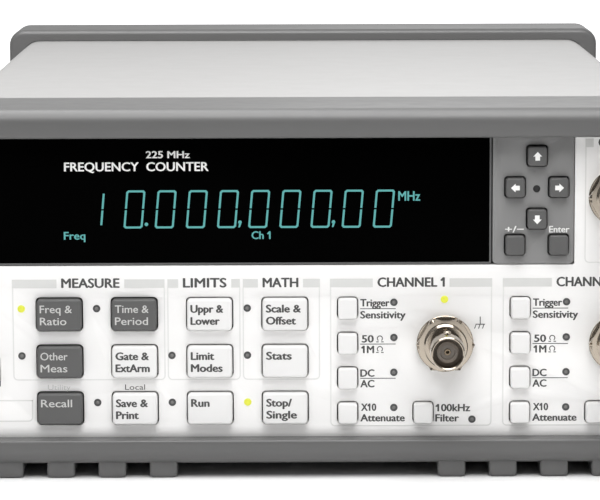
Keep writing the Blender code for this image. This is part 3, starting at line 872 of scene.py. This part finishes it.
def print_channel(shape, shift, name):
    """One input channel's box, key legends and ground symbol."""
    left, right = CHANNEL_LEFT + shift, CHANNEL_RIGHTS[name]
    middle = (left + right) / 2
    header(shape, name, left, right, middle - 9.4, middle + 9.4)
    rule(shape, left, right, CHANNEL_FLOOR, HEADER[0], 2)
    for words, start, baseline, width in CHANNEL_WORDS:
        write(shape, words, start + shift, baseline, 2.0, width, bold=0.11)
    for height in (47.1, 37.1, 27.4):
        shape.patch(14.8 + shift, 24.7 + shift, height, height + 0.22)
    for height in (37.7, 34.7):
        ohm(shape, 20.3 + shift, height)
    print_ground(shape, 48.3 + shift, 41.5)


def ohm(shape, x, baseline):
    """The sign for ohms, drawn as an open ring on two feet."""
    radius, thick = 0.85, 0.26

    def arc(reach):
        turns = [math.radians(-55 + 290 * i / 16) for i in range(17)]
        return [(x + reach * math.cos(turn), baseline + 1.1 + reach * math.sin(turn)) for turn in turns]

    shape.band(arc(radius), arc(radius - thick), PRINT)
    for side in (-1, 1):
        start, end = sorted((x + side * 0.35, x + side * 1.05))
        shape.patch(start, end, baseline, baseline + thick)


def print_ground(shape, x, bottom):
    """The chassis ground sign: a stem on a bar with three slanted strokes."""
    shape.patch(x - 0.13, x + 0.13, bottom + 1.3, bottom + 3.4)
    shape.patch(x - 1.3, x + 1.3, bottom + 1.1, bottom + 1.35)
    for i in range(3):
        foot_x, head_x, top = x - 1.7 + i * 1.1, x - 1.3 + i * 1.1, bottom + 1.1
        stroke = [(foot_x, bottom), (foot_x + 0.25, bottom), (head_x + 0.25, top), (head_x, top)]
        shape.flat(stroke, PRINT)


def print_third_channel(shape):
    """The third channel's title, box and ground symbol, above the second channel."""
    header(shape, "CHANNEL 3", 77.2, 103.4, 80.8, 99.6, 39.0)
    rule(shape, 77.2, 103.4, 59.9, 92.3, 2)
    print_ground(shape, 97.2, 82.5)


def print_blank_area(shape):
    """An outlined blank field near the power button."""
    left, right, bottom, top = -103.4, -76.8, 15.5, 21.7
    rule(shape, left, right, bottom, top, 2)
    shape.patch(left, right, top - RULE, top, 2)


def make_printing():
    """All the print on the front panel."""
    shape = Shape()
    print_groups(shape)
    print_channel(shape, 0.0, "CHANNEL 1")
    print_channel(shape, CHANNEL_PITCH, "CHANNEL 2")
    print_third_channel(shape)
    print_blank_area(shape)
    write(shape, "POWER", -91.0, 40.2, 1.9, 9.0, "centre", bold=0.09)
    inks = ["ink_dark", "ink_pale", "ink_line"]
    printing = shape.build("front_printing", inks, clean=False)
    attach(printing, "counter")


# Lamps


def lamp(shape, centre, lit):
    """A round lens a little proud of its dark ring."""
    ring_look, lens_look = (2, 2) if lit else (0, 1)
    rim = ((1.0, 0.5), (1.0, -0.10), (0.82, -0.16))
    shape.lathe(centre, [(LAMP_RADIUS * part, depth) for part, depth in rim], 24, ring_look)
    lens, tip = (LIT_LENS, -0.44) if lit else (DARK_LENS, -0.36)
    dome = [(LAMP_RADIUS * part, depth) for part, depth in lens]
    shape.lathe(centre, [*dome, (0.02, tip)], 24, lens_look)


def make_lamps():
    """The small lamps beside the keys, three of them lit."""
    shape = Shape()
    lamps = FUNCTION_LAMPS + [TRIGGER_LAMP]
    for shift in (0.0, CHANNEL_PITCH):
        lamps += [(x + shift, height) for x, height in CHANNEL_LAMPS]
    for centre in lamps:
        lamp(shape, centre, centre in LIT_LAMPS)
    made = shape.build("panel_lamps", ["lamp_dark", "lamp_lens", "lamp_lit"])
    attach(made, "counter")


# Display window


def slanted(points, corner):
    """Points leaning to the right as the lit row does, from its lower left corner."""
    return [(corner[0] + x + h * DIGIT_SLANT, corner[1] + h) for x, h in points]


def zero(shape, corner, depth):
    """A nought drawn as two half rings with cut corners."""
    middle = DIGIT_HEIGHT / 2 - DIGIT_GAP

    def half(inset):
        chamfer = DIGIT_CHAMFER - inset * 0.41
        high = DIGIT_WIDTH - inset
        return [(inset, middle), (inset, inset + chamfer), (inset + chamfer, inset),
                (high - chamfer, inset), (high, inset + chamfer), (high, middle)]

    outer, inner = half(0.0), half(DIGIT_STROKE)
    for i in range(len(outer) - 1):
        piece = [outer[i], outer[i + 1], inner[i + 1], inner[i]]
        shape.flat(slanted(piece, corner), depth)
        upper = [(x, DIGIT_HEIGHT - h) for x, h in reversed(piece)]
        shape.flat(slanted(upper, corner), depth)


def print_digits(shape, depth):
    """The lit row: a one, nine noughts, the decimal point and two commas."""
    for i in range(ZERO_COUNT):
        zero(shape, (FIRST_ZERO[0] + i * DIGIT_PITCH, FIRST_ZERO[1]), depth)
    for bottom, top in ((0.9, 5.0), (5.4, 9.7)):
        stroke = [(0, bottom), (DIGIT_STROKE, bottom), (DIGIT_STROKE, top), (0, top)]
        shape.flat(slanted(stroke, LEADING_ONE), depth)
    shape.flat(around((-44.6, 71.1), POINT_RADIUS, 16), depth)
    for x in (-18.6, 7.4):
        shape.flat(around((x, 71.6), POINT_RADIUS, 16), depth)
        shape.flat([(x - 0.45, 70.1), (x, 70.2), (x + 0.48, 71.5), (x - 0.2, 71.5)], depth)


def make_window():
    """The smoked window in its thin frame, with the lit row and the words printed on it."""
    edges, front, back = edges_of("display_window")
    inner = grown(edges, -WINDOW_FRAME)
    steps = ((edges, 0.4, back), (edges, 0.4, front + 0.1), (grown(edges, -0.1), 0.35, front),
             (inner, 0.3, front), (inner, 0.3, front + 0.25))
    shape = Shape()
    shape.loft([ring(outline(box, corner, 3), depth) for box, corner, depth in steps], caps=False)
    rim = shape.build("window_frame", ["window_frame"])
    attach(rim, "counter")
    pane = Shape()
    pane.block(inner, front + PANE_DEPTH, back, 0.3, 0.1, steps=3)
    window = pane.build("window_pane", ["window"])
    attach(window, "counter")
    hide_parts("display_window")
    lit = Shape()
    depth = front + PANE_DEPTH + PRINT
    print_digits(lit, depth)
    for words in LIT_WORDS:
        write(lit, *words, depth=depth)
    for words in WINDOW_WORDS:
        write(lit, *words, look=1, depth=depth, bold=0.09)
    row = lit.build("display_row", ["glow", "ink_white"], clean=False)
    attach(row, "counter")


def make_plate():
    """The grey plate round the arrow keys, with its lamp and two legends."""
    edges, front, back = edges_of("arrow_key_plate")
    shape = Shape()
    shape.bar(outline(edges, 1.2, 5), front, back)
    plate = shape.build("arrow_plate", ["plate"])
    cut_through(plate, [key_hole(node, 1.0) for node in ARROW_NODES], front, back)
    outward(plate.data)
    bevel(plate, PANEL_BEVEL, 2, 50)
    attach(plate, "counter")
    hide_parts("arrow_key_plate")
    marks = Shape()
    write(marks, "+/−", 55.1, 68.5, 1.8, 5.2, depth=front + PRINT)
    write(marks, "Enter", 67.3, 68.5, 1.8, 5.7, depth=front + PRINT)
    dome = ((1.0, 0.3), (1.0, -0.12), (0.75, -0.3), (0.02, -0.36))
    marks.lathe(PLATE_LAMP, [(radius, front + depth) for radius, depth in dome], 24, 1)
    made = marks.build("plate_marks", ["ink_white", "dark"])
    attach(made, "counter")


# Coaxial sockets


def hexagon(centre, radius, limit, steps=72):
    """A hexagon with flat top and bottom, cut back to a limiting circle."""
    points = []
    for i in range(steps):
        turn = 2 * math.pi * i / steps
        within = math.radians(60)
        offset = (turn + within / 2) % within - within / 2
        reach = min(radius * math.cos(within / 2) / math.cos(abs(offset) - within / 2), limit)
        points.append((centre[0] + reach * math.cos(turn), centre[1] + reach * math.sin(turn)))
    return points


def make_socket(node, centre, face, out):
    """A bayonet socket: washer, chamfered nut, threaded collar, barrel with lugs, insulator and contact."""
    shape = Shape()

    def at(height):
        return face + out * height

    def turned(profile, look=0, steps=64):
        shape.lathe(centre, [(radius, at(height)) for radius, height in profile], steps, look)

    turned([(7.95, -0.05), (7.95, 0.5), (7.8, 0.65), (6.0, 0.65)])
    nut = [(7.5, 0.65), (8.2, 1.0), (8.2, 3.0), (7.35, 3.6), (6.5, 3.65)]
    shape.loft([ring(hexagon(centre, NUT, limit), at(height)) for limit, height in nut])
    thread = [(6.05, 3.6)]
    for i in range(4):
        thread += [(6.05, 3.7 + i * 0.6), (5.75, 4.0 + i * 0.6)]
    turned(thread + [(6.05, 6.1), (5.8, 6.35), (4.85, 6.35)])
    turned([(4.8, 6.2), (4.8, 16.8), (4.65, 17.3), (4.35, 17.5), (4.1, 17.3), (4.05, 16.8), (4.05, 7.2)])
    insulator = [(4.06, 9.4), (4.06, 13.2), (3.1, 13.4), (2.95, 14.9), (2.1, 15.1), (2.0, 14.2)]
    turned(insulator + [(0.9, 14.2), (0.8, 9.4)], 1)
    turned([(0.95, 9.5), (0.95, 14.4), (0.8, 14.6), (0.5, 14.6), (0.45, 11.0), (0.02, 11.0)], 2, 32)
    for side in (-1, 1):
        lug(shape, centre, at(LUG_DEPTH), side)
    socket = shape.build(node + "_turned", ["nickel", "insulator", "contact"], 30)
    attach(socket, "counter")
    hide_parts(node)


def lug(shape, centre, depth, side):
    """A round bayonet lug standing up or down from a barrel."""
    rings = []
    for radius, reach in ((1.0, 4.5), (1.0, 5.35), (0.8, 5.55), (0.4, 5.6)):
        circle = around((centre[0], depth), radius, 20)
        rings.append([(x, d, centre[1] + side * reach) for x, d in circle])
    shape.loft(rings)


# Rear panel


def screw(shape, centre, depth, radius=2.6):
    """A pan-head screw facing the rear. Its cross recess is painted shade: two flat near-black strips on the
    head, not a cut.
    """
    head = ((radius, 0.0), (radius, 0.5), (radius * 0.75, 1.1), (radius * 0.45, 1.3), (0.02, 1.3))
    shape.lathe(centre, [(reach, depth + lift) for reach, lift in head], 28)
    x, height = centre
    # Painted shade: the cross recess is drawn as two near-black strips on the head.
    for long, wide in ((radius * 0.5, 0.28), (0.28, radius * 0.5)):
        shape.patch(x + long, x - long, height - wide, height + wide, 1, depth + 1.32)


def make_rear_hardware():
    """The screws of the rear panel and the fan, and the blades of the mains inlet."""
    plate = edges_of("rear_panel")[2]
    shape = Shape()
    for centre in CORNER_SCREWS:
        screw(shape, centre, plate)
    x, height = middle_of(edges_of("fan_guard")[0])
    for across in (-FAN_SCREW, FAN_SCREW):
        for up in (-FAN_SCREW, FAN_SCREW):
            screw(shape, (x + across, height + up), plate + 0.2, 2.4)
    screw(shape, GROUND_SCREW, plate, 3.2)
    # The near-black look here is painted shade in the screws' cross recesses.
    hardware = shape.build("rear_screws", ["screw", "dark"])
    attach(hardware, "counter")
    inlet, _, flange = edges_of("power_inlet")
    pins = Shape()
    for across, lift in INLET_PINS:
        x, height = middle_of(inlet)[0] + across, INLET_HEIGHT + lift
        edges = (x - 1.0, x + 1.0, height - 2.0, height + 2.0)
        steps = ((0.0, 0.3, 14.0), (0.0, 0.3, 4.0), (0.3, 0.2, 3.2))
        pins.loft([ring(outline(grown(edges, -inset), corner, 3), flange - deep)
                   for inset, corner, deep in steps])
    blades = pins.build("inlet_pins", ["contact"])
    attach(blades, "counter")


def tapered(centre, size, corner, narrowing=0.0, steps=5):
    """A round-cornered outline that narrows toward its lower edge by a fraction of its width."""
    x, height = centre
    wide, tall = size
    edges = (x - wide / 2, x + wide / 2, height - tall / 2, height + tall / 2)
    points = outline(edges, corner, steps)
    return [(x + (px - x) * (1 - narrowing * (edges[3] - h) / tall), h) for px, h in points]


def connector(centre, flange, shell, reach):
    """A flanged sheet shell with a black insert. Gives the shape, and depths of flange, insert and mouth."""
    seat, plate = REAR_FACE + 0.3, REAR_FACE + 1.5
    mouth, floor = REAR_FACE + reach, REAR_FACE + 1.2
    shape = Shape()

    def step(size, less, corner, depth, narrowing=SHELL_TAPER):
        return ring(tapered(centre, (size[0] - less, size[1] - less), corner, narrowing), depth)

    shape.loft([step(flange, 0.0, 1.5, seat, 0.0), step(flange, 0.0, 1.5, plate - 0.2, 0.0),
                step(flange, 0.4, 1.3, plate, 0.0)])
    shape.loft([step(shell, 0.0, 2.4, plate - 0.1), step(shell, 0.0, 2.4, mouth - 0.2),
                step(shell, 0.4, 2.2, mouth), step(shell, 1.2, 1.8, mouth - 0.1),
                step(shell, 1.2, 1.8, floor)], caps=False)
    shape.loft([step(shell, 1.2, 1.8, floor - 0.6), step(shell, 1.2, 1.8, floor + 0.4)], look=1)
    return shape, plate, floor + 0.4, mouth


def post(shape, centre, depth, radius, length):
    """A hexagonal screw post with a threaded hole."""
    far = depth + length
    steps = ((1.0, depth - 0.1), (1.0, far - 0.3), (0.88, far), (0.5, far), (0.5, far - 1.8))
    shape.loft([ring(hexagon(centre, radius, radius * limit, 36), at) for limit, at in steps])


def finish_connector(shape, node):
    """Makes a rear connector, which replaces its CAD node."""
    made = shape.build(node + "_assembled", ["steel", "black", "contact"])
    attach(made, "counter")
    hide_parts(node)


def make_serial_connector():
    """A nine-way connector: two staggered rows of pins in a tapered shell."""
    x, height = SERIAL
    shape, plate, floor, mouth = connector(SERIAL, (30.8, 12.5), (18.5, 9.8), 6.8)
    pitch = 2.77
    pins = [((i - 2) * pitch, 1.42) for i in range(5)] + [((i - 1.5) * pitch, -1.42) for i in range(4)]
    profile = [(0.5, floor - 0.2), (0.5, mouth - 1.4), (0.25, mouth - 1.0), (0.02, mouth - 1.0)]
    for across, up in pins:
        shape.lathe((x + across, height + up), profile, 12, 2)
    for side in (-1, 1):
        post(shape, (x + side * 12.5, height), plate, 2.7, 4.8)
    finish_connector(shape, "serial_connector")


def make_bus_connector():
    """A wide ribbon connector: a black tongue with contacts above and below it."""
    middle, height = BUS
    shape, plate, floor, mouth = connector(BUS, (53.0, 15.0), (41.0, 11.2), 7.5)
    size, tip = (33.0, 2.6), (32.4, 2.0)
    tongue = ((size, 0.5, floor - 0.2), (size, 0.5, mouth - 1.4), (tip, 0.3, mouth - 1.0))
    shape.loft([ring(tapered(BUS, step, corner), depth) for step, corner, depth in tongue], look=1)
    count, pitch = 12, 2.16
    for i in range(count):
        x = middle + (i - (count - 1) / 2) * pitch
        for side in (-1, 1):
            near, far = sorted((height + side * 1.2, height + side * 1.42))
            shape.bar(outline((x - 0.45, x + 0.45, near, far), 0.08, 2), floor, mouth - 1.7, look=2)
    for side in (-1, 1):
        post(shape, (middle + side * 23.6, height), plate, 2.6, 5.5)
    finish_connector(shape, "bus_connector")


def make_rear_labels():
    """Functional words beside the rear connectors."""
    depth = edges_of("rear_panel")[2] - PRINT
    shape = Shape()
    for words in REAR_WORDS:
        write(shape, *words, anchor="centre", depth=depth, rear=True)
    labels = shape.build("rear_printing", ["ink_dark"], clean=False)
    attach(labels, "counter")


def make_fan_guard():
    """Plated wire rings on four legs over the fan."""
    edges, _, back = edges_of("fan_guard")
    x, height = middle_of(edges)
    depth = back - WIRE
    shape = Shape()
    for reach in (8.0, 14.5, 21.0, 27.5):
        shape.lathe((x, height), around((reach, depth), WIRE, 12), closed=True)
    for quarter in range(4):
        turn = math.radians(45 + 90 * quarter)
        across, up = math.cos(turn), math.sin(turn)
        rings = []
        for reach, lift in ((6.5, -1.3), (30.0, -1.3), (33.0, -1.3), (35.6, -1.4)):
            section = around((0.0, depth + lift), WIRE, 12)
            rings.append([(x + across * reach - up * side, d, height + up * reach + across * side)
                          for side, d in section])
        shape.loft(rings)
    guard = shape.build("fan_guard_wires", ["chrome"], 60)
    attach(guard, "counter")
    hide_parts("fan_guard")


# Handle


def beside(points, across):
    """A (depth from the pivot, height from the pivot) outline placed at one x."""
    return [(across, PIVOT[0] + d, PIVOT[1] + h) for d, h in points]


def arm_outline(half, hub):
    """One arm seen from the side, about its pivot: round hub, straight arm and flat foot."""
    along = (math.cos(HANDLE_DROP), -math.sin(HANDLE_DROP))
    across = (math.sin(HANDLE_DROP), math.cos(HANDLE_DROP))
    blend = math.asin(half / hub)
    points = []
    for i in range(33):
        turn = -HANDLE_DROP + blend + (2 * math.pi - 2 * blend) * i / 32
        points.append((hub * math.cos(turn), hub * math.sin(turn)))
    level = HANDLE_FLOOR - PIVOT[1]
    lower = (-level - half * across[1]) / -along[1]
    front = along[0] * lower - across[0] * half
    end = HANDLE_REACH * along[0] + 9.0
    rise = (end - across[0] * half) / along[0]
    top = along[1] * rise + across[1] * half
    soft = ARM_SOFT
    points += [(front, level), (end - soft, level)]
    points += [(end - soft + soft * math.sin(t), level + soft - soft * math.cos(t)) for t in (0.5, 1.0)]
    points += [(end, level + soft), (end, top - soft)]
    return points + [(end - soft * 0.3, top - soft * 0.35), (end - soft, top + 0.8)]


def make_handle():
    """Two arms with hubs and a grip bar between them, joined and softened."""
    shape = Shape()
    points = arm_outline(ARM_HALF, HUB)
    for side in (-1, 1):
        shape.loft([beside(points, side * across) for across in ARM_SIDES])
    handle = shape.build("handle_moulding", ["handle"])
    back, floor = edges_of("handle")[2] - PIVOT[0], HANDLE_FLOOR - PIVOT[1]
    section = outline((back - GRIP_DEPTH, back, floor, floor + GRIP_HEIGHT), GRIP_CORNER, 6)
    half = ARM_SIDES[1] - 0.05
    grip = Shape()
    grip.loft([beside(section, -half), beside(section, half)])
    join(handle, grip.build("grip", ["handle"]), "UNION")
    holes = Shape()
    hole = around((0.0, 0.0), PIVOT_HOLE, 48)
    for side in (-1, 1):
        holes.loft([beside(hole, side * (ARM_SIDES[0] - 1)), beside(hole, side * (ARM_SIDES[1] + 1))])
    cut(handle, holes)
    bevel(handle, HANDLE_BEVEL, 4, 40)
    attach(handle, "handle")
    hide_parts("handle")


def make_pivots():
    """The fixed pins that the handle turns on, with round caps."""
    for side, node in ((-1, "handle_pivot_left"), (1, "handle_pivot_right")):
        shape = Shape()
        shape.loft([beside(around((0.0, 0.0), radius, 56), side * at) for radius, at in PIVOT_PROFILE])
        pivot = shape.build(node + "_turned", ["handle"])
        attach(pivot, "counter")
        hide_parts(node)


# Studio


def make_camera():
    """A long lens in front of the panel and a little above it."""
    data = bpy.data.cameras.new("camera")
    data.lens = LENS
    data.sensor_width = 36.0
    data.clip_end = 100.0
    camera = bpy.data.objects.new("camera", data)
    bpy.context.scene.collection.objects.link(camera)
    camera.location = place(*CAMERA)
    look = (place(*AIM) - camera.location).to_track_quat("-Z", "Y")
    camera.rotation_mode = "QUATERNION"
    camera.rotation_quaternion = look @ Quaternion((0, 0, 1), math.radians(ROLL))
    bpy.context.scene.camera = camera


def area_light(name, at, aim, size, power):
    """A soft rectangular light from one place toward another."""
    data = bpy.data.lights.new(name, "AREA")
    data.shape = "RECTANGLE"
    data.size, data.size_y = size
    data.energy = power
    light = bpy.data.objects.new(name, data)
    bpy.context.scene.collection.objects.link(light)
    light.location = place(*at)
    light.rotation_mode = "QUATERNION"
    light.rotation_quaternion = (place(*aim) - place(*at)).to_track_quat("-Z", "Y")


def make_world():
    """Surroundings that look white, and light the counter more from above than from the sides."""
    world = bpy.data.worlds.new("world")
    bpy.context.scene.world = world
    nodes = Nodes(world)
    direction = nodes.add("ShaderNodeTexCoord", {}, {})
    height = nodes.add("ShaderNodeSeparateXYZ", {}, {0: direction}, output=2)
    up = height.math("MAXIMUM", 0.0)
    seen = nodes.add("ShaderNodeLightPath", {}, {})
    mirrored = seen.sibling("Is Glossy Ray")
    behind = (height.sibling("Y") * 4.0).held()
    strength = (up * SKY_RISE + SKY_LOW) * (1.0 - seen) + seen * SKY_SEEN + mirrored * behind * BACKDROP
    background = nodes.tree.nodes["Background"]
    nodes.feed(background.inputs["Strength"], strength)
    nodes.feed(background.inputs["Color"], grey(1.0))


def make_floor():
    """A wide white floor at the height of the feet."""
    mesh = bpy.data.meshes.new("floor")
    corners = ((-1, -1), (1, -1), (1, 1), (-1, 1))
    mesh.from_pydata([(x * FLOOR_REACH, y * FLOOR_REACH, 0) for x, y in corners], [], [[0, 1, 2, 3]])
    mesh.materials.append(LOOKS["floor"])
    floor = bpy.data.objects.new("floor", mesh)
    bpy.context.scene.collection.objects.link(floor)


def make_studio():
    """Camera, surroundings, floor and lights."""
    make_camera()
    make_world()
    make_floor()
    for light in LIGHTS:
        area_light(*light)
    bpy.context.scene.view_settings.view_transform = "Standard"


# Assembly


def finish_inner_nodes(nodes):
    """Gives the CAD nodes that stay in view their materials."""
    for node, look in NODE_LOOKS.items():
        nodes[node].data.materials.clear()
        nodes[node].data.materials.append(LOOKS[look])


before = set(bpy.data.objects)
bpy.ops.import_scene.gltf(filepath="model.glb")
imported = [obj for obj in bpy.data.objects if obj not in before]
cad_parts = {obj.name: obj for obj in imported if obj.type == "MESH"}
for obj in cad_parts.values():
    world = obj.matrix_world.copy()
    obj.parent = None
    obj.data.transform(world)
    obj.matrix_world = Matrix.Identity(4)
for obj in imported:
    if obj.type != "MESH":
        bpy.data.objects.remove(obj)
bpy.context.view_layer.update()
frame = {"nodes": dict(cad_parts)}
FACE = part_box("front_panel")[0].y
CAPITAL = max(height for _, height in glyphs("H")[0])
LOOKS = make_looks()

front_bumper = make_bumper("front_bumper_moulding", FRONT_BUMPER, -BUMPER_SEAT)
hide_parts("front_bumper")
rear_bumper = make_bumper("rear_bumper_moulding", REAR_BUMPER, REAR_FACE + BUMPER_SEAT)
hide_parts("rear_bumper")
make_cover()
make_front_panel()
make_window()
make_plate()
for node in KEY_LEGENDS:
    make_function_key(node)
for node in ARROW_NODES:
    make_arrow_key(node)
for node in CHANNEL_NODES:
    make_channel_key(node)
make_power_button()
make_printing()
make_lamps()
for node, centre in SOCKETS.items():
    make_socket(node, centre, 0.0, -1)
for node, x in REAR_SOCKETS.items():
    make_socket(node, (x, REAR_SOCKET_HEIGHT), edges_of("rear_panel")[2], 1)
make_rear_hardware()
make_rear_labels()
make_serial_connector()
make_bus_connector()
make_fan_guard()
make_handle()
make_pivots()
finish_inner_nodes(frame["nodes"])
make_studio()
